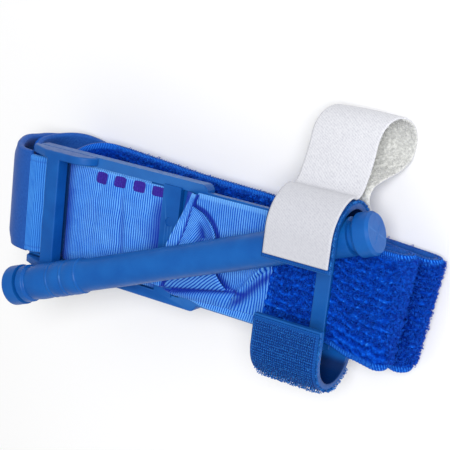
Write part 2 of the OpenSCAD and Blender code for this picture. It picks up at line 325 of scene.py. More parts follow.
def curls(name, roots, normals, height, radius, material, seed, lean=0.5, width=0.5):
    """Small loops of fibre that stand on a surface."""
    rng = np.random.RandomState(seed)
    roots, normals = np.asarray(roots, float), np.asarray(normals, float)
    count = len(roots)
    spin = rng.normal(size=(count, 3))
    side = np.cross(normals, spin)
    side /= np.maximum(np.linalg.norm(side, axis=-1, keepdims=True), 1e-9)
    tall = height * rng.uniform(0.55, 1.25, (count, 1))
    wide = width * rng.uniform(0.6, 1.3, (count, 1))
    tip = normals * tall + np.cross(normals, side) * lean * tall * rng.uniform(-1, 1, (count, 1))
    a = np.linspace(0, math.pi, 6)
    paths = [
        roots - normals * 0.15 + side * wide * math.cos(t) * (0.45 + 0.55 * math.sin(t)) + tip * math.sin(t)
        for t in a
    ]
    return tubes(name, np.stack(paths, 1), radius, material, 3)


# ---- Materials ----

def srgb(r, g, b):
    def line(v):
        v /= 255
        return v / 12.92 if v <= 0.04045 else ((v + 0.055) / 1.055) ** 2.4

    return (line(r), line(g), line(b), 1)


class Graph:
    """A material's nodes. Every method but finish returns output sockets."""

    def __init__(self, name):
        self.material = bpy.data.materials.new(name)
        self.material.use_nodes = True
        self.tree = self.material.node_tree
        self.new = self.tree.nodes.new
        self.bsdf = self.tree.nodes["Principled BSDF"]

    def fill(self, node, inputs, output=0):
        """Links or sets a node's inputs and returns one of its outputs."""
        for key, value in inputs.items():
            if isinstance(value, bpy.types.NodeSocket):
                self.tree.links.new(value, node.inputs[key])
            elif value is not None:
                node.inputs[key].default_value = value
        return node.outputs[output]

    def math(self, operation, *values):
        node = self.new("ShaderNodeMath")
        node.operation = operation
        return self.fill(node, dict(enumerate(values)))

    def wave(self, value, period):
        turned = self.math("SINE", self.math("MULTIPLY", value, 2 * math.pi / period))
        return self.math("MULTIPLY_ADD", turned, 0.5, 0.5)

    def add(self, value, other, amount):
        """value, plus other's distance from its middle times amount."""
        return self.math("MULTIPLY_ADD", self.math("SUBTRACT", other, 0.5), amount, value)

    def weave(self):
        """The cloth's coordinates as one vector, then along, across and inside the edge."""
        node = self.new("ShaderNodeAttribute")
        node.attribute_name = "weave"
        split = self.new("ShaderNodeSeparateXYZ")
        self.fill(split, {0: node.outputs["Vector"]})
        return node.outputs["Vector"], *split.outputs

    def lift(self):
        node = self.new("ShaderNodeAttribute")
        node.attribute_name = "lift"
        return node.outputs["Fac"]

    def place(self):
        """The point on the object, in mm."""
        node = self.new("ShaderNodeTexCoord")
        return self.stretch(node.outputs["Object"], (1000, 1000, 1000))

    def stretch(self, vector, factors):
        node = self.new("ShaderNodeVectorMath")
        node.operation = "MULTIPLY"
        return self.fill(node, {0: vector, 1: factors})

    def noise(self, vector, scale, detail=2.0, roughness=0.5):
        inputs = {"Vector": vector, "Scale": scale, "Detail": detail, "Roughness": roughness}
        return self.fill(self.new("ShaderNodeTexNoise"), inputs, "Fac")

    def cells(self, vector, scale):
        node = self.new("ShaderNodeTexVoronoi")
        return self.fill(node, {"Vector": vector, "Scale": scale}, "Distance")

    def ramp(self, value, *stops):
        node = self.new("ShaderNodeValToRGB")
        elements = node.color_ramp.elements
        while len(elements) < len(stops):
            elements.new(0.5)
        for element, (at, colour) in zip(elements, stops):
            element.position = at
            element.color = colour
        return self.fill(node, {0: value})

    def scale_to(self, value, from_low, from_high, low, high):
        node = self.new("ShaderNodeMapRange")
        return self.fill(node, dict(enumerate((value, from_low, from_high, low, high))))

    def mix(self, factor, a, b):
        node = self.new("ShaderNodeMix")
        node.data_type = "RGBA"
        return self.fill(node, {0: factor, 6: a, 7: b}, 2)

    def darken(self, colour, amount, shade):
        """Mixes in painted shade where the attribute is below 0: in creases, hollows, under folds and along
        the strap's front.
        """
        return self.mix(self.scale_to(self.lift(), 0.0, -1.0, 0.0, amount), colour, shade)

    def bump(self, height, strength, distance, normal=None):
        node = self.new("ShaderNodeBump")
        inputs = {"Height": height, "Strength": strength, "Distance": distance * MM, "Normal": normal}
        return self.fill(node, inputs)

    def edge(self):
        return self.new("ShaderNodeNewGeometry").outputs["Pointiness"]

    def finish(self, colour, roughness, normal, **fixed):
        self.fill(self.bsdf, {"Base Color": colour, "Roughness": roughness, "Normal": normal})
        self.fill(self.bsdf, {key.replace("_", " "): value for key, value in fixed.items()})
        return self.material


def plastic(name, dark, light, grain):
    """Moulded plastic with cloudy colour, a painted highlight along its edges, painted shade in hollows and a
    fine grain.
    """
    g = Graph(name)
    at = g.place()
    fine = g.noise(at, grain, 4, 0.6)
    colour = g.ramp(g.noise(at, 0.12, 3), (0.3, dark), (0.7, light))
    # painted highlight: edges, found by their pointiness, are painted lighter
    colour = g.mix(g.scale_to(g.edge(), 0.53, 0.6, 0, 0.3), colour, srgb(70, 135, 205))
    colour = g.mix(g.scale_to(fine, 0.35, 0.65, 0, 0.15), colour, srgb(4, 50, 122))
    # painted shade where the attribute is below 0, in the hollows of the clip's horns
    colour = g.darken(colour, 0.85, srgb(0, 20, 66))
    roughness = g.scale_to(g.noise(at, 0.5, 4), 0.3, 0.7, 0.36, 0.48)
    normal = g.bump(g.noise(at, 0.35, 2), 0.12, 0.4, g.bump(fine, 0.25, 0.05))
    return g.finish(colour, roughness, normal, Specular_IOR_Level=0.24)


def ribbed(name, valley, middle, crest, period=RIB):
    """Ribbon with ribs across it, each plied from fine threads."""
    g = Graph(name)
    vector, u, v, inside = g.weave()
    u = g.add(u, g.noise(vector, 0.16, 3), 0.5)
    rib = g.math("ABSOLUTE", g.math("SINE", g.math("MULTIPLY", u, math.pi / period)))
    half = g.math("MULTIPLY", g.math("FLOOR", g.math("DIVIDE", u, period)), 0.2)
    ply = g.wave(g.math("ADD", g.math("ADD", v, half), g.math("MULTIPLY", u, 0.35)), 0.42)
    fuzz = g.noise(g.stretch(vector, (3.0, 1.2, 1.0)), 1.6, 4)
    mixed = g.add(g.add(rib, fuzz, 0.55), ply, 0.12)
    # painted light on the ribs: crests painted lighter, valleys with painted shade
    colour = g.ramp(mixed, (0.12, valley), (0.55, middle), (0.98, crest))
    colour = g.mix(g.scale_to(g.noise(vector, 0.09, 3), 0.35, 0.7, 0, 0.35), colour, middle)
    # painted highlight along the ribbon's edges
    colour = g.mix(g.scale_to(inside, 0.0, 0.9, 0.55, 0.0), colour, crest)
    # painted shade where the attribute is below 0: creases, folds and places under other parts
    colour = g.darken(colour, 0.93, (valley[0] * 0.3, valley[1] * 0.45, valley[2] * 0.7, 1))
    normal = g.bump(ply, 0.3, 0.06, g.bump(rib, 0.35, 0.18))
    return g.finish(colour, g.scale_to(fuzz, 0.3, 0.7, 0.48, 0.66), normal,
                    Sheen_Weight=0.04, Sheen_Roughness=0.4, Specular_IOR_Level=0.16)


def pile(name, shadow, body, bright, fleck, hem):
    """Loop pile with a stitched hem. Its attribute paints the tufts lighter and the gaps between them with
    painted shade.
    """
    g = Graph(name)
    _, u, v, inside = g.weave()
    at = g.place()
    # painted light on the pile: high tufts lighter, low gaps and places below 0 with painted shade
    tufts = g.math("MULTIPLY_ADD", g.lift(), 0.42, g.noise(at, 0.9, 4, 0.6))
    mixed = g.math("MULTIPLY_ADD", g.math("SUBTRACT", 0.45, g.cells(at, 1.5)), 0.22, tufts)
    colour = g.ramp(mixed, (0.3, shadow), (0.58, body), (0.86, bright), (1.05, fleck))
    colour = g.mix(g.scale_to(g.noise(at, 3.0, 2), 0.64, 0.76, 0, 0.4), colour, fleck)
    stitch = g.wave(g.math("ADD", u, g.math("MULTIPLY", v, 0.4)), 0.75)
    hem_colour = g.ramp(stitch, (0.1, body), (0.6, hem), (0.95, fleck))
    colour = g.mix(g.scale_to(inside, 1.5, 2.4, 1, 0), colour, hem_colour)
    normal = g.bump(g.noise(at, 5.5, 2), 0.5, 0.12, g.bump(mixed, 0.9, 0.5))
    return g.finish(colour, 0.85, normal, Sheen_Weight=0.05, Sheen_Roughness=0.45,
                    Sheen_Tint=srgb(40, 120, 255), Specular_IOR_Level=0.03)


def plain(name, dark, body, bright, across=0.8, along=0.7):
    """Plain weave. across and along are its thread spacings in mm."""
    g = Graph(name)
    vector, u, v, _ = g.weave()
    check = g.math("ABSOLUTE", g.math("SUBTRACT", g.wave(v, across), g.wave(u, along)))
    fuzz = g.noise(vector, 1.1, 4)
    mixed = g.math("MULTIPLY_ADD", fuzz, 0.7, g.math("MULTIPLY", check, 0.35))
    colour = g.ramp(mixed, (0.2, dark), (0.55, body), (0.9, bright))
    colour = g.mix(g.scale_to(g.noise(vector, 0.07, 3), 0.35, 0.7, 0, 0.5), colour, body)
    normal = g.bump(fuzz, 0.3, 0.15, g.bump(check, 0.4, 0.12))
    return g.finish(colour, 0.68, normal, Sheen_Weight=0.1, Sheen_Roughness=0.4, Specular_IOR_Level=0.2)


def twill(name):
    """The strap's smooth face, with slanting lines."""
    g = Graph(name)
    vector, u, v, _ = g.weave()
    slant = g.math("ADD", g.math("MULTIPLY", u, 0.9), g.math("MULTIPLY", v, 0.55))
    line = g.wave(g.math("MULTIPLY_ADD", g.noise(vector, 0.3, 2), 0.9, slant), 0.74)
    fuzz = g.noise(vector, 1.4, 4)
    mixed = g.math("MULTIPLY_ADD", fuzz, 0.75, g.math("MULTIPLY", line, 0.17))
    mixed = g.math("MULTIPLY_ADD", g.wave(g.math("SUBTRACT", v, u), 0.5), 0.06, mixed)
    colour = g.ramp(mixed, (0.12, srgb(178, 179, 189)), (0.5, srgb(209, 210, 216)),
                    (0.95, srgb(228, 229, 233)))
    # painted shade where the attribute is below 0, along the strap's front
    colour = g.darken(colour, 0.8, srgb(150, 152, 164))
    normal = g.bump(fuzz, 0.3, 0.12, g.bump(line, 0.2, 0.08))
    return g.finish(colour, 0.75, normal, Sheen_Weight=0.1, Sheen_Roughness=0.5, Specular_IOR_Level=0.3)


def brushed(name):
    """The strap's inside, of fine brushed loops."""
    g = Graph(name)
    at = g.place()
    mixed = g.math("MULTIPLY_ADD", g.math("SUBTRACT", 0.4, g.cells(at, 1.3)), 0.3, g.noise(at, 1.1, 5, 0.7))
    colour = g.ramp(mixed, (0.32, srgb(190, 191, 189)), (0.55, srgb(222, 223, 220)),
                    (0.8, srgb(240, 240, 238)))
    return g.finish(colour, 0.9, g.bump(mixed, 0.9, 0.45), Sheen_Weight=0.3, Sheen_Roughness=0.5,
                    Specular_IOR_Level=0.2)


def hook_tape(name):
    """The woven ground that the hooks stand on."""
    g = Graph(name)
    vector, u, v, inside = g.weave()
    knots = g.math("MULTIPLY", g.wave(u, 0.9), g.wave(v, 0.8))
    mixed = g.math("MULTIPLY_ADD", knots, 0.5, g.math("MULTIPLY", g.noise(vector, 1.8, 4), 0.7))
    colour = g.ramp(mixed, (0.2, srgb(2, 34, 92)), (0.5, srgb(8, 62, 140)), (0.85, srgb(30, 104, 190)))
    colour = g.mix(g.scale_to(inside, 0.7, 1.2, 0.6, 0), colour, srgb(14, 84, 166))
    return g.finish(colour, 0.6, g.bump(mixed, 0.8, 0.3), Specular_IOR_Level=0.12)


def fibre(name, colour, other, roughness=0.55):
    """Single threads, curls and hooks."""
    g = Graph(name)
    tone = g.ramp(g.noise(g.place(), 0.9, 3), (0.35, colour), (0.68, other))
    normal = g.bump(g.noise(g.place(), 6.0, 2), 0.3, 0.05)
    return g.finish(tone, roughness, normal, Specular_IOR_Level=0.12)


MATERIALS = {
    "plastic": plastic("moulded_blue", srgb(4, 78, 156), srgb(10, 90, 170), 5.0),
    "rod": plastic("moulded_rod", srgb(6, 82, 162), srgb(16, 94, 174), 6.5),
    "ribbon": ribbed("ribbon_light", srgb(0, 52, 180), srgb(18, 108, 212), srgb(112, 182, 248)),
    "edging": ribbed("ribbon_turn", srgb(8, 76, 184), srgb(28, 112, 206), srgb(76, 152, 230), TURN_RIB),
    "pile": pile("loop_pile", srgb(0, 28, 118), srgb(3, 60, 174), srgb(10, 90, 214), srgb(50, 136, 240),
                 srgb(6, 78, 184)),
    "liner": plain("liner_blue", srgb(10, 62, 146), srgb(24, 84, 168), srgb(48, 110, 196)),
    "hidden_ribbon": plain("ribbon_core", srgb(12, 76, 186), srgb(40, 112, 208), srgb(90, 160, 236)),
    "twill": twill("strap_face"),
    "brushed": brushed("strap_loops"),
    "hooks": hook_tape("hook_base"),
    "hook_fibre": fibre("hook_plastic", srgb(8, 74, 164), srgb(50, 132, 214), 0.4),
    "pile_fibre": fibre("pile_fibre", srgb(1, 48, 164), srgb(14, 96, 220), 0.7),
    "white_fibre": fibre("white_fibre", srgb(215, 216, 216), srgb(236, 236, 236), 0.7),
    "thread": fibre("blue_thread", srgb(6, 70, 176), srgb(34, 116, 214)),
    "print": plain("purple_print", srgb(24, 14, 112), srgb(48, 28, 146), srgb(84, 58, 184), 0.42, RIB),
    "tab": plain("tab_red", srgb(90, 14, 18), srgb(140, 24, 28), srgb(186, 60, 60)),
}


# ---- Camera, floor and light ----

# Solved from the outlines of the rod, the horns and the plate, in metres
CAMERA_AT = Vector((0.27923, 0.11743, 0.35892))
CAMERA_BACK = Vector((0.624562, 0.262661, 0.735481))
CAMERA_UP = Vector((-0.25233, 0.959105, -0.128247))


def add_camera():
    data = bpy.data.cameras.new("camera")
    data.sensor_width = 36
    data.lens = 102.66
    data.shift_x = 0.0577
    data.shift_y = 0.0545
    camera = link("camera", data)
    back = CAMERA_BACK.normalized()
    right = CAMERA_UP.cross(back).normalized()
    up = back.cross(right)
    camera.matrix_world = Matrix.Translation(CAMERA_AT) @ Matrix((right, up, back)).transposed().to_4x4()
    bpy.context.scene.camera = camera


def add_floor():
    bpy.ops.mesh.primitive_plane_add(size=6, location=(0, 0, 0))
    floor = bpy.context.object
    floor.name = "floor"
    material = bpy.data.materials.new("floor")
    material.use_nodes = True
    bsdf = material.node_tree.nodes["Principled BSDF"]
    bsdf.inputs["Base Color"].default_value = (0.97, 0.97, 0.97, 1)
    bsdf.inputs["Roughness"].default_value = 0.9
    floor.data.materials.append(material)


def add_light(name, location, target, size, power):
    data = bpy.data.lights.new(name, "AREA")
    data.shape = "DISK"
    data.size = size
    data.energy = power
    light = link(name, data)
    light.location = location
    light.rotation_euler = (Vector(target) - Vector(location)).to_track_quat("-Z", "Y").to_euler()


def add_lights():
    add_light("key", (0.72, 0.3, 1.05), (0, 0, 0), 0.55, 14)
    world = bpy.data.worlds.new("world")
    world.use_nodes = True
    background = world.node_tree.nodes["Background"]
    background.inputs["Color"].default_value = (1, 1, 1, 1)
    background.inputs["Strength"].default_value = 0.5
    bpy.context.scene.world = world
    bpy.context.scene.view_settings.view_transform = "Standard"


# ---- Plastic ----

def moulded(node, slot, width):
    """The CAD's shape with rounded edges, as a moulding has."""
    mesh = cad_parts[node].data.copy()
    mesh.name = node + "_moulded"
    mesh.materials.clear()
    mesh.materials.append(MATERIALS["plastic"])
    work = bmesh.new()
    work.from_mesh(mesh)
    bmesh.ops.remove_doubles(work, verts=work.verts, dist=2e-6)
    bmesh.ops.dissolve_limit(work, angle_limit=math.radians(0.6), verts=work.verts, edges=work.edges)
    sharp = [e for e in work.edges if len(e.link_faces) == 2 and e.calc_face_angle() > math.radians(28)]
    bmesh.ops.bevel(work, geom=sharp, offset=width * MM, segments=3, profile=0.5, affect="EDGES",
                    clamp_overlap=True)
    bmesh.ops.triangulate(work, faces=[f for f in work.faces if len(f.verts) > 4])
    work.to_mesh(mesh)
    work.free()
    for name in [a.name for a in mesh.attributes if a.name.startswith("custom_normal")]:
        mesh.attributes.remove(mesh.attributes[name])
    mesh.shade_smooth()
    mesh.set_sharp_from_angle(angle=math.radians(40))
    if node == "windlass_clip":
        darken_horns(mesh)
    piece = link(mesh.name, mesh)
    piece.modifiers.new("normals", "WEIGHTED_NORMAL").keep_sharp = True
    dress(piece, "pack", slot, node)


def darken_horns(mesh):
    """The hollows of the clip's horns see little light."""
    at = unplate(read(mesh.vertices, "co", 3) / MM)
    across = np.abs(at[:, 1])
    inside = smooth(HORN_IN_R + 0.3, HORN_IN_R - 0.3, np.hypot(across - HORN[0], at[:, 2] - HORN[1]))
    set_points(mesh, "lift", -inside * smooth(HORN[0] + 2.4, HORN[0] + 5, across))


def rod_matrix():
    """From the rod's own frame to the ground frame, in mm."""
    c, s = math.cos(TILT), math.sin(TILT)
    tilt = Matrix(((c, 0, s, 0), (0, 1, 0, 0), (-s, 0, c, PLATE_H), (0, 0, 0, 1)))
    return (tilt @ Matrix.Translation(ROD_AT) @ Matrix.Rotation(math.radians(ROD_YAW), 4, "Z")
            @ Matrix.Rotation(math.radians(ROD_PITCH), 4, "Y"))


def on_rod(points):
    """From the rod's own frame to the ground frame."""
    m = np.array(rod_matrix())
    return points @ m[:3, :3].T + m[:3, 3]


def rod_radius(x):
    """Radius at each distance from the rod's middle. The grip is on the left, the knob on the right."""
    end, tip = ROD_L / 2, ROD_L / 2 + ROD_MORE
    r = ROD_R - 0.12 * smooth(30, 0, np.abs(x))
    swell = np.zeros_like(x)
    for a, b in ((GRIP_END, GRIP[0]), GRIP[:2], GRIP[1:]):
        t = np.clip((x - a) / (b - a), 0, 1)
        swell = np.where((x > a) & (x < b), 0.6 * np.sin(math.pi * t) ** 0.7, swell)
    r = np.where(x < GRIP[2], ROD_R + 0.1 + swell, r)
    for ridge in GRIP:
        r += 0.55 * bell(x, ridge, 0.36)
    # shoulder, groove and flange past the grip
    r = np.where(x < GRIP_END, ROD_R + 1.0 - 0.9 * smooth(GRIP_END - 0.8, GRIP_END, x), r)
    r = np.where((x > FLANGE) & (x < FLANGE + 1.3), 5.7, r)
    r = np.where(x <= FLANGE, 7.4, r)
    # collar, groove and knob
    r = np.where(x > COLLAR, ROD_R + 0.4 * smooth(COLLAR, COLLAR + 1, x), r)
    back = end - KNOB_L
    r = np.where((x > back - KNOB_GROOVE) & (x < back), 4.9, r)
    knob = x >= back
    r = np.where(knob, 7.2 - 0.12 * smooth(back, end + 0.8, x), r)
    r = np.where(knob, r - 0.45 * smooth(back + 0.7, back, x), r)
    r = np.where(x > tip - 1.0, r - 0.75 * (x - tip + 1.0), r)
    return r - 0.8 * (1 - np.sqrt(np.clip(1 - np.clip(1 - tip - x, 0, 1) ** 2, 0, 1)))


def build_rod():
    """A turned shape, cut through by the ribbon's slot."""
    end, tip = ROD_L / 2, ROD_L / 2 + ROD_MORE
    x = np.unique(np.concatenate([
        np.arange(-tip, -41, 0.2), np.arange(-41, 57, 2.5), np.arange(57, tip + 0.01, 0.2),
        [at + d for at in (FLANGE, FLANGE + 1.3) for d in (-0.02, 0.02)],
        [end - KNOB_L + d for d in (-KNOB_GROOVE - 0.02, -KNOB_GROOVE + 0.02, -0.02, 0.02)]]).round(3))
    r = rod_radius(x)
    # two rings on each end face
    rings = np.array([0.12, 0.55])
    x = np.concatenate([x[0] - 0.06 * (1 - rings), x, x[-1] + 0.06 * (1 - rings[::-1])])
    r = np.concatenate([r[0] * rings, r, r[-1] * rings[::-1]])
    sides = 96
    x, angle = net(x, np.arange(sides) * 2 * math.pi / sides)
    verts = np.stack([x, r[:, None] * np.cos(angle), r[:, None] * np.sin(angle)], -1).reshape(-1, 3)
    i = np.arange(x.size).reshape(x.shape)
    k = np.roll(i, -1, axis=1)
    walls = np.stack([i[:-1], i[1:], k[1:], k[:-1]], -1).reshape(-1, 4)
    faces = walls.tolist() + [i[0].tolist(), i[-1, ::-1].tolist()]
    rod = make_object("rod_body", verts, faces, ["rod"])
    work = bmesh.new()
    work.from_mesh(rod.data)
    bmesh.ops.recalc_face_normals(work, faces=work.faces)
    work.to_mesh(rod.data)
    work.free()

    cutter = link("slot_cutter", bpy.data.meshes.new("slot_cutter"))
    work = bmesh.new()
    bmesh.ops.create_cube(work, size=1)
    bmesh.ops.scale(work, vec=(ROD_SLOT[0] * MM, ROD_SLOT[0] * MM, ROD_SLOT[1] * MM), verts=work.verts)
    long_edges = [e for e in work.edges if abs(e.verts[0].co.y - e.verts[1].co.y) > 0.01]
    bmesh.ops.bevel(work, geom=long_edges, offset=1.1 * MM, segments=5, profile=0.5, affect="EDGES")
    work.to_mesh(cutter.data)
    work.free()
    cut = rod.modifiers.new("slot", "BOOLEAN")
    cut.operation = "DIFFERENCE"
    cut.solver = "EXACT"
    cut.object = cutter
    bpy.context.view_layer.update()
    evaluated = rod.evaluated_get(bpy.context.evaluated_depsgraph_get())
    final = bpy.data.meshes.new_from_object(evaluated)
    rod.modifiers.clear()
    rod.data = final
    bpy.data.objects.remove(cutter)
    final.shade_smooth()
    final.set_sharp_from_angle(angle=math.radians(33))
    placed = rod_matrix()
    placed.translation *= MM
    final.transform(placed)
    dress(rod, "windlass", "rod_plastic", "windlass_rod")

    # parting line across the knob's face
    t = np.linspace(-4.4, 4.4, 9)
    line = np.stack([np.full_like(t, tip + 0.02), t * math.cos(math.radians(48)) - 0.4,
                     -t * math.sin(math.radians(48))], -1)
    seam = tubes("knob_parting_line", on_rod(line)[None], 0.11, "rod", 6)
    dress(seam, "windlass", "rod_plastic")


# ---- Band ----

# How far the upper half's fold, the back run and the running end have slid across
UPPER_SLIP = 2.4
BACK_SLIP = 2.3
END_SLIP = 3.4
# Loop pile: height of its bumps, spacing of its rows, thickness of its curls
PILE_H = 0.75
PILE_ROW = 3.1
CURL_R = 0.1


def lower_shift(x):
    """How far the lower half of the band lies aside, since it was folded at a slight angle."""
    return 2.1 - 6.2 * smooth(8, 84, x) + 1.9 * np.clip((-18 - np.asarray(x)) / 48, 0, 1)


def settle_upper(p):
    """From the straight upper half, in the plate frame, to where it lies."""
    x, y, z = p[..., 0], p[..., 1], p[..., 2]
    reach = smooth(60, 79, x)
    mouth = smooth(34, 30, x) * (z > -3)
    return plate(np.stack([
        x + reach * (0.105 * y - 2.0) + 0.09 * mouth * np.minimum(y, 0),
        y - UPPER_SLIP * smooth(53, 63, x) + 0.09 * reach * np.minimum(y, 0),
        z + 0.25 * noise(x / 9, y / 11, 3) * smooth(61, 66, x)], -1))


def settle_lower(p):
    """From the straight lower half to where it lies."""
    x, y, z = p[..., 0], p[..., 1], p[..., 2]
    across = y + lower_shift(x) - BACK_SLIP * smooth(RUN_3_Z, RUN_4_Z, z) * smooth(76, 34, x)
    return np.stack([
        x + smooth(62, 82, x) * (0.14 * y - 2.4),
        across + 0.09 * smooth(60, 80, x) * np.minimum(y, 0),
        z + 0.2 * noise(x / 12, y / 10, 5) * smooth(-62, -40, x)], -1)


def stand(points, across_y, offset, left):
    """A grid: the path's points, moved offset to its left, at each place across the band."""
    path = points + offset * left
    x, y = net(path[:, 0], across_y)
    z, _ = net(path[:, 1], across_y)
    return np.stack([x, y, z], -1)


def pile_bump(u, v, height, seed):
    """Tufts in wavy rows, flat along the hems."""
    rows = np.sin((v + 0.9 * noise(u / 3, v / 4, seed + 2) + 0.08 * u) * 2 * math.pi / PILE_ROW)
    tuft = 0.45 * noise(u / 1.4, v / 1.0, seed) + 0.3 * noise(u / 0.7, v / 0.6, seed + 1)
    flat_hem = smooth(1.5, 2.8, BAND_W / 2 - np.abs(v))
    return np.maximum(height * (0.35 + 0.42 * rows + tuft), -0.35) * flat_hem


def ply(name, node, path, start, heading, offset, half, materials, slot, settle, body, blend=None,
        width=BAND_W, step=0.5, held="folded", rests_on="stabilization_plate", seed=1, over=0.0, hidden=0.0):
    """One layer of the band. hidden puts painted shade on it where its first run goes in under another fold.
    """
    points, left, lengths = trace(path, start, heading, step)
    v = np.linspace(-width / 2, width / 2, int(width / step) + 1)
    grid = settle(stand(points, v, offset, left))
    u, v = net(lengths, v)
    raised = pile_bump(u, v, over, seed) if over else 0.0
    # painted shade where the first run goes in under the fold above it
    crease = hidden * bell(u, path[0][0] - 0.5, 3.0)
    piece = cloth(name, grid, half, weave_of(u, v, width), materials, raised, lift=raised - crease)
    if blend:
        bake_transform(piece, "pack", "lower_band", *blend)
    else:
        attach(piece, body)
    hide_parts(node)
    return piece


def roots_on(piece, count, seed, accept, face_slot=0):
    """Random places on a piece's first face slot: points and normals, in mm."""
    faces = piece.data.polygons
    centres, normals = read(faces, "center", 3) / MM, read(faces, "normal", 3)
    areas, slots = read(faces, "area", 1)[:, 0], read(faces, "material_index", 1)[:, 0]
    weight = areas * (slots == face_slot) * accept(centres, normals)
    rng = np.random.RandomState(seed)
    chosen = rng.choice(len(faces), size=count, replace=True, p=weight / weight.sum())
    jitter = rng.uniform(-0.25, 0.25, (count, 3))
    jitter -= normals[chosen] * np.sum(jitter * normals[chosen], -1, keepdims=True)
    return centres[chosen] + jitter, normals[chosen]


def build_half(half, path, start, body, settle, rests_on, seed, shown, curl_count, curl_height, hidden=0.0):
    """Half of the sleeve: the pile tape outside, the ribbon inside and the liner behind."""
    faces = ["pile", "liner", "pile"]
    outer = ply(f"{half}_pile", f"{half}_pile_tape", path, start, 0, 0.9, 0.5, faces, "pile_tape", settle,
                body, rests_on=rests_on[0], seed=seed, over=PILE_H, step=0.42, hidden=hidden)
    ply(f"{half}_core", f"{half}_inner_ribbon", path, start, 0, 0, 0.24, ["hidden_ribbon"],
        "light_ribbon", settle, body, width=33, step=1.2, rests_on=f"{half}_liner_cloth")
    ply(f"{half}_liner_cloth", f"{half}_liner", path, start, 0, -0.86, 0.56, ["liner"],
        "plain_liner", settle, body, step=0.8, rests_on=rests_on[1])
    roots, normals = roots_on(outer, curl_count, seed + 10, shown)
    curl = curls(f"{half}_pile_curls", roots, normals, curl_height, CURL_R, "pile_fibre", seed + 11,
                 width=0.6)
    dress(curl, body, "pile_tape")


def build_upper_band():
    def shown(c, n):
        p = unplate(c)
        x, y = p[:, 0], p[:, 1]
        hem = BAND_W / 2 - np.abs(y + UPPER_SLIP * smooth(53, 63, x))
        # the knob lies here when the rod is at its other stop
        under_knob = (np.abs(y + 2.4 + 0.296 * x) < 9) & (x > 56) & (x < 75)
        return ((x > 32) & (n[:, 2] > -0.6) & (hem > 1.2) & ~under_knob) * (1 + 3.0 * (x > 75))

    path = [[FOLD_1_CX - SLEEVE_X, 0], [FOLD_1_R, -180], [FOLD_1_CX - INNER_FOLD_X, 0]]
    build_half("upper", path, (SLEEVE_X, RUN_1_Z), "pack", settle_upper,
               ("windlass_clip", "stabilization_plate"), 11, shown, 6500, 1.15)


def lower_path():
    """Start and radius of the inner fold at the left, and the x where the lower half begins."""
    inner_from = ground(INNER_FOLD_X, RUN_2_Z)
    inner_r = (inner_from[1] - RUN_3_Z) / (1 + math.cos(TILT))
    inner_to_x = inner_from[0] - inner_r * math.sin(TILT)
    return inner_from, inner_r, inner_to_x


def build_lower_band():
    def shown(c, n):
        hem = BAND_W / 2 - np.abs(c[:, 1] - lower_shift(c[:, 0]))
        return (hem > 0.8) * ((c[:, 0] > 72) * 4.0 + (n[:, 2] > 0.3) * (c[:, 1] > 12) * 1.6 + (hem < 3) * 0.5)

    _, _, inner_to_x = lower_path()
    path = [[FOLD_2_CX - inner_to_x, 0], [FOLD_2_R, -180], [FOLD_2_CX - LOWER_FROM_X, 0]]
    build_half("lower", path, (inner_to_x, RUN_3_Z), "lower_band", settle_lower,
               ("running_end", "running_end"), 31, shown, 5200, 1.25, hidden=1.2)
    path = [[TAIL_X - LOWER_FROM_X, 0]]
    ply("running_end_cloth", "running_end", path, (LOWER_FROM_X, BAND_HALF), 0, 0, 1.32, ["liner"],
        "plain_liner", lambda p: shifted(p, lower_shift(p[..., 0]) - END_SLIP), "lower_band",
        step=0.8, held="laid", rests_on="floor")


def shifted(p, dy):
    """Moved across the band."""
    out = p.copy()
    out[..., 1] += dy
    return out


def build_left_folds():
    inner_from, inner_r, _ = lower_path()
    under_rail = ground(RAIL_X, -RAIL_R - TURN_R)
    outer_r = ((under_rail[1] - RUN_4_Z - (OUTER_CX - under_rail[0]) * math.tan(TILT))
               / (1 + math.cos(TILT) + math.sin(TILT) * math.tan(TILT)))
    outer_run = (under_rail[0] - OUTER_CX - outer_r * math.sin(TILT)) / math.cos(TILT)
    over_rail = ground(OVER_X, -RAIL_R + TURN_R)
    running_r = (over_rail[1] - BAND_HALF) / (1 + math.cos(TILT))
    running_to_x = over_rail[0] - running_r * math.sin(TILT)
    tilt = math.degrees(TILT)

    def fold(name, path, start, heading, top_z, low_z, slip, squeeze, materials, slot, seed, flare=0):
        """slip is how far the low end lies aside, squeeze flattens the bulge, flare opens the far edge."""
        def settle(p):
            x, y = p[..., 0], p[..., 1]
            t = 1 - np.clip((p[..., 2] - low_z) / (top_z - low_z), 0, 1)
            edge = np.abs(y) / (BAND_W / 2)
            aside = lower_shift(np.clip(x, LOWER_FROM_X, INNER_FOLD_X)) - slip
            flared = 1.5 * flare * bell(t, 0.18, 0.3) * np.maximum(y, 0) / 19
            pulled = 1.9 * smooth(-74, -92, x) * smooth(0, 0.35, t)
            out = shifted(p, smooth(0, 1, t) * aside + flared + pulled)
            past = np.minimum(x + 76, 0)
            crumple = noise(y / 4.5, t * 5, seed) * smooth(0.55, 0.95, edge) * smooth(0, -4, past)
            out[..., 0] -= past * (squeeze + 0.10 * smooth(0.72, 1.0, edge)) - 0.7 * flare * crumple
            return out

        x = (over_rail[0] - 2) * MM
        ply(name + "_cloth", name, path, start, heading, 0, 1.36, materials, slot, settle, None,
            blend=((x, 0, top_z * MM), (x, 0, low_z * MM)), seed=seed)

    pile_in = ["pile", "liner", "liner"]
    fold("inner_fold", [[inner_r, 180 + tilt]], inner_from, 180 - tilt, inner_from[1], RUN_3_Z, 0, 0,
         pile_in, "pile_tape", 51)
    fold("outer_fold", [[LOWER_FROM_X - OUTER_CX, 0], [outer_r, -180 - tilt], [outer_run, 0]],
         (LOWER_FROM_X, RUN_4_Z), 180, under_rail[1], RUN_4_Z, BACK_SLIP, 0.05, pile_in, "pile_tape", 53)
    fold("running_fold", [[running_r, 180 + tilt], [LOWER_FROM_X - running_to_x, 0]], over_rail, 180 - tilt,
         over_rail[1], BAND_HALF, END_SLIP, 0.1, ["liner"], "plain_liner", 55, 1)


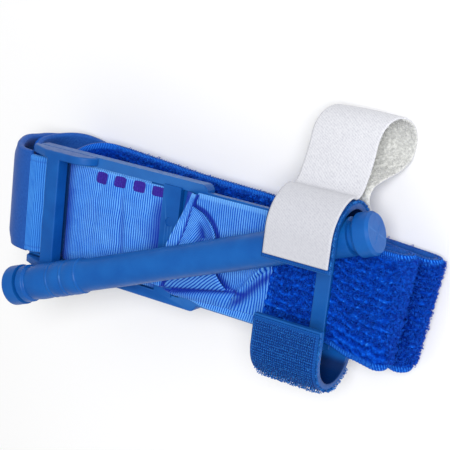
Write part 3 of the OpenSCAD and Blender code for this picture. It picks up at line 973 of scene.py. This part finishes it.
def build_buckle_turn():
    """The ribbon-faced turn round the buckle's rail."""
    points, left, lengths = trace([[TURN_R, 180], [RAIL_X - OVER_X, 0]], (RAIL_X, -RAIL_R - TURN_R), 0, 0.14)
    width = BAND_W - 0.6
    v = np.linspace(-width / 2, width / 2, 70)
    grid = stand(points, v, 0, left)
    u, v = net(lengths, v)
    u = u + 0.12 * noise(u / 3, v / 6, 61)
    fold_line = bell(np.abs(v), width / 2 - 2.0, 0.22)
    materials = ["liner", "edging", "edging"]
    # the fold line is pressed in, with painted shade along it
    turn = cloth("buckle_turn_cloth", plate(grid), 1.2, weave_of(u, v, width), materials,
                 under=0.13 * rib_height(u, TURN_RIB) - 0.3 * fold_line, lift=-0.6 * fold_line)
    dress(turn, "pack", "light_ribbon", "buckle_turn")


# ---- Ribbon ----

def ribbon_sheet(name, nodes, mid, u, v, width, half=0.2, amount=0.2, rises=False,
                 lift=None):
    """A piece of the ribbon from a grid in the plate frame. One that rises bends between plate and rod."""
    piece = cloth(name, plate(mid), half, weave_of(u, v, width), ["ribbon"],
                  amount * (rib_height(u) - 0.5), soft_edge=0.45, lift=lift)
    if rises:
        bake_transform(piece, "pack", "windlass", plate((0, 0, 1.2)) * MM, plate((0, 0, 7.0)) * MM)
    else:
        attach(piece, "pack")
    if nodes:
        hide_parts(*nodes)


# Mesh step along the ribbon, fine enough for its ribs
RIBBON_STEP = 0.115


def window_height(x, y):
    """The ribbon's height over the window: up round the middle rail, crowned, and down under the crossbar."""
    s = np.clip((x + 62.3) / 44.3, 0, 1)
    z = -1.35 + 1.85 * np.sin(math.pi * s) ** 0.8
    z = z - 3.2 * smooth(-60.6, -64.3, x)
    edge = 1 - 0.35 * smooth(15, 19, np.abs(y))
    wave = 0.22 * noise(x / 5.5, y / 16, 71) + 0.12 * noise(x / 2.6, y / 9, 72)
    crease = -0.5 * bell(x + 0.09 * y, -34.5, 1.5) - 0.3 * bell(x - 0.12 * y, -47, 1.2)
    return z * edge - (1 - edge) * 1.3 + (wave + crease) * np.sin(math.pi * s)


def window_point(x, y):
    slide = 0.012 * np.clip(x + 58, 0, None) * (0.5 + 0.5 * np.clip(y / 19, -1, 1))
    return np.stack([x, y - slide, window_height(x, y)], -1)


def window_ribs(x, y):
    """Place along the ribbon, for its ribs, which are not quite straight."""
    return x + 0.28 * noise(x / 8, y / 7, 73) + 0.10 * noise(x / 3, y / 3, 74)


def build_window():
    x, y = net(np.arange(-64.3, -10.2, RIBBON_STEP), np.linspace(-19.05, 19.05, 84))
    # painted shade: at the left where the ribbon goes down under the raised bar, at the right beside the
    # crossbar, and along a crease; the noise varies the tone at random
    dark = -0.95 * smooth(-55.5, -62, x) - 0.8 * smooth(-25, -17.6, x) * smooth(17, 10, y)
    dark = dark - 0.4 * bell(x + 0.09 * y, -34.2, 1.2) * smooth(17, 8, y) + 0.2 * noise(x / 6, y / 14, 76)
    ribbon_sheet("window_ribbon_cloth", ["window_ribbon"], window_point(x, y), window_ribs(x, y), y, BAND_W,
                 lift=dark)

    x, y = net(np.arange(-60, -23.9, RIBBON_STEP), np.linspace(-18.75, 19.25, 60))
    mid = window_point(x, np.clip(y, -19, 19))
    mid[..., 1] = y
    mid[..., 2] = np.maximum(mid[..., 2] - 0.62, -1.4)
    ribbon_sheet("ribbon_anchor_cloth", ["ribbon_anchor"], mid, x + 0.3, y, 38.0)


def build_print_marks():
    """Four squares with soft corners, each as its middle and its half sizes."""
    gx, gy = net(np.linspace(-1, 1, 35), np.linspace(-1, 1, 35))
    round_off = 1 / np.maximum(1, (np.abs(gx) ** 5 + np.abs(gy) ** 5) ** 0.2)
    squares = ((-44.9, 16.3, 2.5, 2.1), (-36.6, 16.6, 2.45, 2.0),
               (-28.2, 16.8, 2.5, 2.0), (-20.2, 16.7, 2.6, 1.8))
    for n, (cx, cy, sx, sy) in enumerate(squares):
        wobble = 1 + 0.03 * noise(gx * 2.5 + n * 7, gy * 2.5, 75)
        x, y = cx + sx * gx * round_off * wobble, cy + sy * gy * round_off * wobble
        u = window_ribs(x, y)
        mid = window_point(x, y)
        mid[..., 2] += 0.2 + 0.2 * (rib_height(u) - 0.5) + 0.03
        mark = cloth(f"print_mark_{n + 1}", plate(mid), 0.02, weave_of(u, y, BAND_W), ["print"],
                     soft_edge=0)
        dress(mark, "pack", "purple_print", *(["print_marks"] if n == 0 else []))



def spline(points, t):
    """A smooth line through a few points (Catmull-Rom), at t from 0 to 1."""
    p = np.asarray(points, float)
    p = np.concatenate([2 * p[:1] - p[1:2], p, 2 * p[-1:] - p[-2:-1]])
    n = len(p) - 3
    s = np.clip(np.asarray(t, float) * n, 0, n - 1e-9)
    i = s.astype(int)
    f = (s - i)[..., None]
    a, b, c, d = p[i], p[i + 1], p[i + 2], p[i + 3]
    square, cube = 2 * a - 5 * b + 4 * c - d, 3 * b - a - 3 * c + d
    return 0.5 * (2 * b + (c - a) * f + square * f ** 2 + cube * f ** 3)


def ridge_x(y):
    """The slanting edge that the twisted ribbon stands up along."""
    return -10.0 + 0.34 * (y - 0.4)


def build_left_riser():
    """From the slot up to the slanting edge, over it, and down into the crease beside the tent."""
    t = np.linspace(0, 1, 110)
    y = 19.9 - 35.0 * t
    edge_x, edge_z = ridge_x(y), 2.6 + 2.9 * smooth(0, 0.6, t)
    stations = [
        (-8.4 + 0 * t, np.clip(y, -18.9, 18.9), -2.2 + 0 * t),
        (-8.2 + 0.45 * (edge_x + 8.2), y * 0.99, 0.9 + 1.0 * t),
        (edge_x, y, edge_z),
        (edge_x + 0.55 + 0.7 * t, y - 0.1, edge_z + 0.25),
        (edge_x + 1.0 + 2.3 * smooth(0, 0.55, t), y - 0.3, edge_z - 0.05),
        (edge_x + 1.5 + 3.0 * smooth(0, 0.5, t), y - 0.5, np.minimum(edge_z - 1.7, 1.4 + 3 * t)),
    ]
    s = np.linspace(0, 1, 150)
    mid = spline(np.stack([np.stack(p, -1) for p in stations]).reshape(len(stations), -1), s)
    mid = mid.reshape(len(s), len(t), 3)
    length = np.concatenate([[0], np.cumsum(np.linalg.norm(np.diff(mid[:, 60], axis=0), axis=-1))])
    u, v = net(length, y)
    # painted shade on the steep face from the slot up to the edge, and in the crease beside the tent
    dark = -0.95 * smooth(0.46, 0.36, s) - smooth(0.78, 0.9, s)
    ribbon_sheet("left_riser_cloth", ["left_riser"], mid[::-1], (u + 0.32 * v)[::-1], v, BAND_W,
                 half=0.18, rises=True, lift=dark[::-1, None])


TENT_LEFT = [(-3.0, 15.2, 2.0), (-4.9, 9.0, 2.6), (-7.4, 2.4, 3.4), (-9.2, -3.0, 4.6)]
TENT_RIM = [(-2.6, 15.0, 2.4), (1.6, 13.7, 2.3), (4.6, 11.3, 2.0), (6.6, 8.6, 1.7), (7.9, 5.4, 2.0),
            (8.6, 1.0, 3.6)]


def build_tent():
    """The ribbon's fold that stands over the flat run and goes up under the rod."""
    t = np.linspace(0, 1, 90)
    left, right = spline(TENT_LEFT, t), spline(TENT_RIM, t)
    span = np.linalg.norm(right - left, axis=-1)
    s, t = net(np.linspace(0, 1, 170), t)
    mid = left * (1 - s)[..., None] + right * s[..., None]
    dome = 2.1 * np.sin(math.pi * s) * smooth(0, 0.75, t) * (1 - 0.3 * s)
    valley = 2.6 * bell(s, 0.66, 0.13) * smooth(0.3, 0.8, t)
    rim = 0.5 * smooth(0.9, 1.0, s) * smooth(0.05, 0.3, t)
    mid[..., 2] += dome - valley + rim + 0.8 * smooth(0.7, 1, t)
    u = s * span - 0.25 * (1 - t) * 18 + 0.15 * noise(s * 6, t * 7, 81)
    v = 18 * t - 4
    # painted shade in the tent's valley, in the crease along its left side and on the slope up to its rim
    dark = -0.95 * bell(s, 0.66, 0.1) * smooth(0.2, 0.6, t) - smooth(0.08, 0.0, s)
    dark = dark - 0.5 * smooth(0.72, 0.9, s) * smooth(0.97, 0.93, s)
    ribbon_sheet("right_riser_cloth", ["right_riser"], mid[:, ::-1], u[:, ::-1], v[:, ::-1], 60,
                 rises=True, lift=dark[:, ::-1])


def valley_y(x):
    """The crease that the rod's flap and the near hem both stand up from."""
    return -14.5 + 0.2 * x


def pocket_x(y):
    """The slanting ridge that closes the pocket in front of the rod."""
    return 19.5 + (y + 10.2) * 0.917


def run_height(x, y):
    """Folds of the flat run in front of the rod, where the twist takes up the slack."""
    d = y - valley_y(x)
    z = 0.42 + 0.10 * noise(x / 6, y / 8, 91)
    z = z + smooth(6.5, 2.0, y) * 3.2 * smooth(0.5, 9.5, d) * smooth(pocket_x(y) + 0.5, pocket_x(y) - 1.5, x)
    r = np.clip((y + 17.4) / np.maximum(valley_y(x) + 17.4, 1.2), 0, 1)
    quarter = math.pi / 2
    hem = np.where(r < 0.8, np.sin(r / 0.8 * quarter) ** 1.3, 0.12 + 0.88 * np.cos((r - 0.8) / 0.2 * quarter))
    z = z + hem * (d <= 0) * 1.9 * smooth(21, 9, x) * smooth(-15, -8, x)
    # rim of the pocket, from the end of the valley up to the sleeve
    ax, ay, bx, by = 19.5, -10.2, 29.4, 0.6
    t = np.clip(((x - ax) * (bx - ax) + (y - ay) * (by - ay)) / ((bx - ax) ** 2 + (by - ay) ** 2), 0, 1)
    away = np.hypot(x - ax - t * (bx - ax), y - ay - t * (by - ay))
    side = ((bx - ax) * (y - ay) - (by - ay) * (x - ax)) > 0
    z = z + 2.7 * bell(away, 0, np.where(side, 1.3, 3.4)) * (0.5 + 0.5 * np.sin(math.pi * (0.15 + 0.7 * t)))
    z = z + 0.54 * bell(x - 0.3 * y, 22.0, 1.6) * smooth(-4, -9, y)
    flat = smooth(30.8, 27.8, x)
    return z * flat + 0.42 * (1 - flat)


def build_run():
    q, y = net(np.linspace(0, 1, 330), np.linspace(-17.4, 19.9, 150))
    start = np.where(y > 0, np.maximum(ridge_x(y) + 0.9, -2.2 - 0.42 * (19.9 - y)), ridge_x(y) + 0.5)
    start = start - 2.3 * smooth(-8, -15, y)
    right = 30.6 + 0.09 * np.minimum(y, 0)
    x = start + (right - start) * q
    sag = smooth(-12, -17.4, y)
    low = y + sag * np.interp(x, (-18, -14, -7.3, 5, 20, 30), (1.8, -0.2, -1.4, -0.8, 0.2, 0.2))
    mid = np.stack([x, low, run_height(x, y) + 0.1 * sag], -1)
    shear = 0.55 * smooth(29, 4, x) * smooth(4, -5, y)
    u = x - shear * (y + 9) + 0.25 * noise(x / 7, y / 8, 92)
    smooth_part = bell(x, pocket_x(y) + 2.6, 1.9) * smooth(2, -3, y) * smooth(-18, -13.5, y)
    d = y - valley_y(x)
    lip = 10 + (-6 - y) * 0.86
    pocket = smooth(lip + 4.5, lip + 0.2, x) * smooth(0, 0.8, d) * smooth(6, 3, y)
    valley = bell(d, 0.25, 0.8) * smooth(23, 18, x) * smooth(6, 3, y)
    rim = spline(TENT_RIM, np.linspace(0, 1, 60))
    near = np.min(np.hypot(x[..., None] - rim[:, 0], y[..., None] - rim[:, 1]), axis=-1)
    # painted shade: a little over the whole run, more in the pocket under the flap's lip, in the valley, on
    # the smooth slope past the pocket's ridge and beside the tent's rim
    dark = -np.clip(0.12 + 0.85 * pocket + valley + 0.8 * smooth_part + 0.95 * smooth(1.5, 0.3, near), 0, 1)
    ribbon_sheet("ribbon_run_cloth", ["ribbon_run"], mid, u, y, 37.4,
                 amount=0.2 * (1 - 0.9 * smooth_part), rises=True, lift=dark)


def build_flap():
    """Stands up from the valley to the rod and ends in a lip on the right."""
    s, t = net(np.linspace(0, 1, 230), np.linspace(0, 1, 80))
    x = -14.6 + (13.9 - 4.6 * t ** 0.7 + 14.6) * s
    low_y, top_y = valley_y(x) + 0.15, -3.4 + 0.374 * x
    y = low_y + (top_y - low_y) * t
    z = 0.9 + 4.9 * np.sin(t * math.pi / 2) ** 0.9 + 0.7 * np.sin(math.pi * t) * smooth(0.2, 0.8, s)
    z = z - 0.7 * smooth(0.965, 1.0, s) + 0.12 * noise(x / 5, y / 5, 99)
    u = 0.65 * x - 0.76 * y + 0.2 * noise(x / 5, y / 5, 98)
    # painted shade: a little over the whole flap, more at its foot in the valley and along its top under the
    # rod
    dark = -0.15 - 0.8 * smooth(0.12, 0.0, t) - 0.5 * smooth(0.6, 1.0, t)
    ribbon_sheet("ribbon_flap", [], np.stack([x, y, z], -1), u, 12 * t, 40,
                 rises=True, lift=dark)


def build_underlayer():
    """Lower layer of the ribbon, seen along the near edge."""
    x, y = net(np.arange(-4.5, 30.4, RIBBON_STEP), np.linspace(-20.2, -9, 26))
    z = 0.3 + 0.12 * noise(x / 5, y / 5, 95) - 0.05 * smooth(-19, -20.2, y)
    mid = np.stack([x, y + 1.6 * smooth(6, -4.5, x), z], -1)
    ribbon_sheet("ribbon_underlayer", [], mid, x - 0.25 * y, y, 40.6,
                 half=0.16, amount=0.14)


def build_slot_ribbon():
    """The ribbon inside the rod, gathered to the slot's width."""
    x, y = net(np.linspace(-11, 11, 180), np.linspace(-5.6, 5.6, 22))
    mid = on_rod(np.stack([x, y, 0.18 * noise(x / 4, y / 4, 97)], -1))
    piece = cloth("slot_ribbon_cloth", mid, 0.4, weave_of(y, x, 22), ["ribbon"],
                  0.2 * (rib_height(y) - 0.5))
    dress(piece, "windlass", "light_ribbon", "slot_ribbon")


# ---- Clip's tapes and strap ----

def section(points, xs, side=1):
    """A grid from a path drawn as y and z, at each place along x. side -1 mirrors it to the near horn."""
    y, x = net(side * points[:, 0], xs)
    z, _ = net(points[:, 1], xs)
    return np.stack([x, y, z], -1)


def build_patch(name, node, side, seed):
    """Hook tape on a horn: 1 is the far horn, under the strap, and -1 the near one."""
    r = HORN_OUT_R + 0.3
    path = [[HORN[0] - HORN_TIP - 0.6, 0], [r, -150]]
    points, left, lengths = trace(path, (HORN_TIP + 0.6, HORN[1] + r), 0, 0.35)
    width = CLIP_L - 0.8
    xs = np.linspace(CLIP_X + 0.4, CLIP_X + 0.4 + width, 64)
    # the order across keeps the first face outside on both horns
    base = section(points, xs, side)[:, ::-side]
    u, v = (a[:, ::-side] for a in net(lengths, xs - xs.mean()))
    weave = weave_of(u, v, width)
    weave[..., 2] = np.minimum(weave[..., 2], np.minimum(u, lengths[-1] - u))
    bump = 0.12 * np.abs(np.sin(math.pi * u / 0.9)) * smooth(0.8, 1.4, weave[..., 2]) - 0.04
    piece = cloth(name, plate(base), 0.27, weave, ["hooks"], bump)
    dress(piece, "pack", "hook_tape", node)

    rng = np.random.RandomState(seed)
    profile = ((0.15, 0.0), (0.62, 0.0), (0.95, 0.35), (0.98, 0.8), (0.7, 1.0))
    hooks = []
    for n, row in enumerate(np.arange(1.3, lengths[-1] - 1.0, 0.85)):
        at = np.array([np.interp(row, lengths, points[:, k]) for k in (0, 1)])
        out = np.array([np.interp(row, lengths, left[:, k]) for k in (0, 1)])
        out /= np.linalg.norm(out)
        along = np.array([out[1], -out[0]])
        for col in np.arange(xs[0] + 1.2, xs[-1] - 1.0, 0.8):
            x = col + 0.4 * (n % 2) + rng.uniform(-0.16, 0.16)
            # short ones under the strap, long ones round the near horn's back
            tall = rng.uniform(0.7, 1.15) * (0.62 if side > 0 else 0.8 * (1 + 0.7 * smooth(14, 24, row)))
            lean = rng.choice([-1, 1]) * rng.uniform(0.2, 0.5)
            steps = [(at + out * (0.2 + tall * a) + along * lean * b, b) for a, b in profile]
            hooks.append([(x + lean * 0.5 * b, side * p[0], p[1]) for p, b in steps])
    fuzz = tubes(name + "_hooks", plate(hooks), 0.12, "hook_fibre", 3)
    dress(fuzz, "pack", "hook_tape")

    # cut hooks along the tape's right-hand edge
    along = rng.uniform(1.0, lengths[-1] - 1.0, 260)
    roots = np.stack([np.full_like(along, xs[-1] + 0.2), side * np.interp(along, lengths, points[:, 0]),
                      np.interp(along, lengths, points[:, 1])], -1)
    edge = curls(name + "_edge", plate(roots), plate(roots + [1.0, 0, 0]) - plate(roots), 0.7, 0.1,
                 "hook_fibre", seed + 1, lean=0.8, width=0.5)
    dress(edge, "pack", "hook_tape")


def strap_path():
    """From the strap's front end over the horn, out round the loop and back under the horn."""
    horn = np.array(HORN)
    neck_c = horn + (STRAP_R + NECK_R) * unit(LEAVE_A)
    loop_c = neck_c + NECK_OUT * unit(NECK_A) + (NECK_R + LOOP_R) * unit(NECK_A - 90)
    heel = horn + (STRAP_R + NECK_R) * unit(HEEL_A) - loop_c
    back_run = math.sqrt(heel @ heel - (LOOP_R + NECK_R) ** 2)
    back_a = math.degrees(math.atan2(heel[1], heel[0]) - math.atan2(LOOP_R + NECK_R, back_run))
    path = [
        [HORN[0] - STRAP_END, 0], [STRAP_R, LEAVE_A - 90], [NECK_R, NECK_A - LEAVE_A + 90], [NECK_OUT, 0],
        [LOOP_R, back_a - NECK_A - 360], [back_run, 0], [NECK_R, HEEL_A + 270 - back_a],
        [STRAP_R, -ANCHOR_TURN]]
    return path, (STRAP_END, HORN[1] + STRAP_R)


# Points along one stitch
DASH = np.linspace(0, 1, 5)


def build_strap():
    """White tape over the far horn: pressed on at the front, with a loop behind."""
    path, start = strap_path()
    points, _, lengths = trace(path, start, 0, 0.45)
    xs = np.linspace(CLIP_X + 1.5, CLIP_X + CLIP_L, 60)
    grid = section(points, xs)
    u, v = net(lengths, xs - xs.mean())
    # the loop sags, leans and is a little wavy; the horn's crest holds the rest in place
    out = smooth(32, 43, grid[..., 1])
    side = np.clip(v / CLIP_L + 0.5, 0, 1)
    sink = out * np.clip(-2.75 - grid[..., 2], 0, 20)
    grid[..., 2] += out * (0.25 * noise(u / 9, v / 11, 101) + 0.35 * np.cos(v / CLIP_L * math.pi))
    grid[..., 2] += (4.2 + 0.3 * (1 - side)) * bell(u, 36, 8)
    grid[..., 1] += out * (0.6 - 0.2 * side + 0.5 * np.sin(math.pi * side))
    grid[..., 0] += out * 0.5 * noise(u / 12, v / 40, 102) + 0.23 * sink
    weave = weave_of(u, v, CLIP_L)
    inner = 0.28 * (0.4 + noise(u / 0.8, v / 0.8, 103)) * smooth(0.2, 1.0, weave[..., 2])
    inner = inner * smooth(0.1, 0.6, np.linalg.norm(grid[..., 1:] - np.array(HORN), axis=-1) - STRAP_R)

    faces = ["twill", "brushed", "twill"]
    # painted shade on the strap's front part, darkest at its end, where less light falls
    piece = cloth("strap_tape", plate(grid[:, ::-1]), 0.42, weave[:, ::-1], faces, under=inner[:, ::-1],
                  lift=-0.4 * smooth(52, 12, u))
    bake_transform(piece, "pack", "strap_front", plate((48.5, 0, 8.6)) * MM, plate((48.5, 0, 12.4)) * MM)
    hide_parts("strap_loop", "strap_flap")

    def inside_loop(c, _):
        x, y = unplate(c).T[:2]
        near_edge = (x > CLIP_X + CLIP_L - 3) | (x < CLIP_X + 3)
        return (y > 35) * 1.0 + (y > 35) * near_edge * 2.0

    roots, normals = roots_on(piece, 1500, 111, inside_loop, 1)
    curl = curls("strap_curls", roots, normals, 0.5, 0.07, "white_fibre", 112, width=0.4)
    dress(curl, "pack", "white_tape")

    # rows of thread across the fixed end, under the horn
    dashes = []
    for row in (HEEL_A - 12, HEEL_A - 17):
        at = np.array(HORN) + (STRAP_R + STRAP_HALF + 0.1) * unit(row)
        for x in np.arange(CLIP_X + 2, CLIP_X + CLIP_L - 3, 2.2):
            dashes.append([(x + t * 1.7, *(at + 0.16 * math.sin(math.pi * t) * unit(row))) for t in DASH])
    thread = tubes("strap_thread", plate(dashes), 0.17, "white_fibre", 6)
    dress(thread, "pack", "white_thread", "strap_stitching")


# ---- Stitching ----

def zigzag(points, normals, across, pitch, reach):
    """Overlock stitches along a line: short threads that slant from side to side."""
    lengths = np.concatenate([[0], np.cumsum(np.linalg.norm(np.diff(points, axis=0), axis=-1))])
    out = []
    for n, s in enumerate(np.arange(0.6, lengths[-1] - pitch, pitch)):
        sway = across * reach * (1 if n % 2 else -1)
        a, b = (np.array([np.interp(t, lengths, c) for c in points.T]) for t in (s, s + pitch * 0.8))
        a, b = a + sway, b - sway
        m = normals[min(int(s / lengths[-1] * len(normals)), len(normals) - 1)]
        out.append([a + (b - a) * t + m * 0.18 * math.sin(math.pi * t) for t in DASH])
    return out


def build_stitching():
    """Overlock along the hems of both halves, and the bartack at the sleeve's mouth."""
    def hems(path, start, settle, x_from):
        threads = []
        points, left, _ = trace(path, start, 0, 0.8)

        def line_at(y, offset):
            return settle(stand(points, np.array([y]), offset, left))[:, 0]

        for side in (-1, 1):
            hem = side * (BAND_W / 2 - 1.1)
            line = line_at(hem, BAND_HALF + 0.02)
            normals = line_at(hem, BAND_HALF + 1.02) - line
            normals /= np.linalg.norm(normals, axis=-1, keepdims=True)
            keep = line[:, 0] > x_from
            threads += zigzag(line[keep], normals[keep], np.array([0, 1.0, 0]), 0.7, 0.42)
            rim = line_at(side * (BAND_W / 2 + 0.05), 0)
            threads += zigzag(rim[keep], normals[keep], np.array([0.35, 0, 1.0]), 0.62, 1.2)
        return threads

    path = [[FOLD_1_CX - SLEEVE_X, 0], [FOLD_1_R, -180], [6, 0]]
    upper = hems(path, (SLEEVE_X, RUN_1_Z), settle_upper, 61.5)
    _, _, inner_to_x = lower_path()
    path = [[FOLD_2_CX - inner_to_x, 0], [FOLD_2_R, -180], [20, 0]]
    lower = hems(path, (inner_to_x, RUN_3_Z), settle_lower, -58)
    # bartack: two rows across the sleeve's mouth
    mouth = []
    for x in (SLEEVE_X + 1.3, SLEEVE_X + 2.2):
        for y in np.arange(-16.5, 16.5, 1.5):
            mouth.append([(x + 0.09 * min(y, 0), y + 1.2 * t, 0.92 + 0.16 * math.sin(math.pi * t))
                          for t in DASH])
    for name, paths, radius, body, node in (
            ("upper_hem_thread", upper, 0.12, "pack", "upper_stitching"),
            ("lower_hem_thread", lower, 0.12, "lower_band", "lower_stitching"),
            ("mouth_thread", plate(mouth), 0.16, "pack", "sleeve_bartack")):
        dress(tubes(name, paths, radius, "thread", 5), body, "blue_thread", node)


def build_tab():
    """The red tab at the running end, with a rounded end."""
    low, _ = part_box("tip_tab")
    length, w = 18.0, BAND_W - 4
    q, y = net(np.linspace(0, 1, 48), np.linspace(-1, 1, 60))
    near_end = np.clip((q * length - (length - 4)) / 4, 0, 1)
    half_w = w / 2 - 4 + 4 * np.sqrt(np.clip(1 - near_end ** 2, 0, 1))
    x = low[0] / MM + 0.02 + q * (length - 0.05)
    mid = np.stack([x, y * half_w + lower_shift(x), 1.4 + 0.05 * noise(x / 4, y * 4, 121)], -1)
    piece = cloth("tip_tab_cloth", mid, 0.5, weave_of(q * length, y * half_w, w), ["tab"])
    dress(piece, "lower_band", "red_tab", "tip_tab")


add_camera()
add_floor()
add_lights()
moulded("stabilization_plate", "blue_plastic", 0.45)
moulded("buckle_frame", "blue_plastic", 0.55)
moulded("windlass_clip", "blue_plastic", 0.4)
build_rod()
build_upper_band()
build_lower_band()
build_left_folds()
build_buckle_turn()
build_window()
build_print_marks()
build_left_riser()
build_tent()
build_run()
build_flap()
build_underlayer()
build_slot_ribbon()
build_patch("upper_hook_tape", "upper_hook_patch", 1, 131)
build_patch("lower_hook_tape", "lower_hook_patch", -1, 133)
build_strap()
build_stitching()
build_tab()
